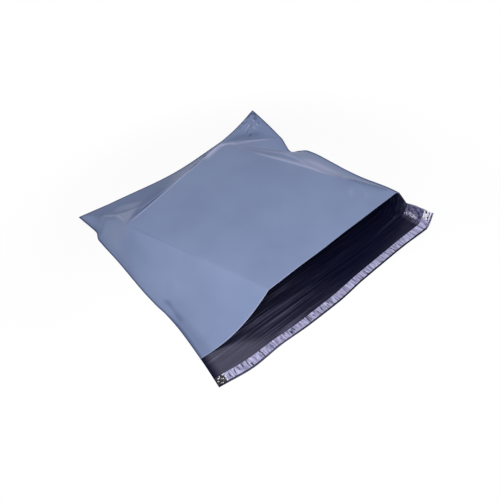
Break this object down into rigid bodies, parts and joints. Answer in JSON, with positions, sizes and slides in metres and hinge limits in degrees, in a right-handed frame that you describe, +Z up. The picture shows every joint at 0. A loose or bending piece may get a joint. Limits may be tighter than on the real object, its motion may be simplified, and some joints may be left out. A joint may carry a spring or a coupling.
{
  "type": "poly mailer bag",
  "caption": "Open poly mailer bag lying on its back, its front panel standing as a flat-roofed tent, with a sealing strip under a peel-off liner on its lip.",
  "frame": {"origin": "on the ground under the middle of the bag's box", "axes": "+Y from the mouth towards the closed fold, +X to the right of someone who looks into the mouth, +Z up"},
  "size_m": [0.354, 0.404, 0.0505],
  "materials": {
    "grey_film": "satin grey-blue polyethylene film, black on its inside",
    "glue": "clear to straw-coloured hot-melt glue, glossy",
    "liner": "silicone-coated silvery film, crinkled"
  },
  "bodies": {
    "root": {"bag_film": "grey_film", "adhesive_strip": "glue", "release_liner": "liner"}
  },
  "joints": []
}
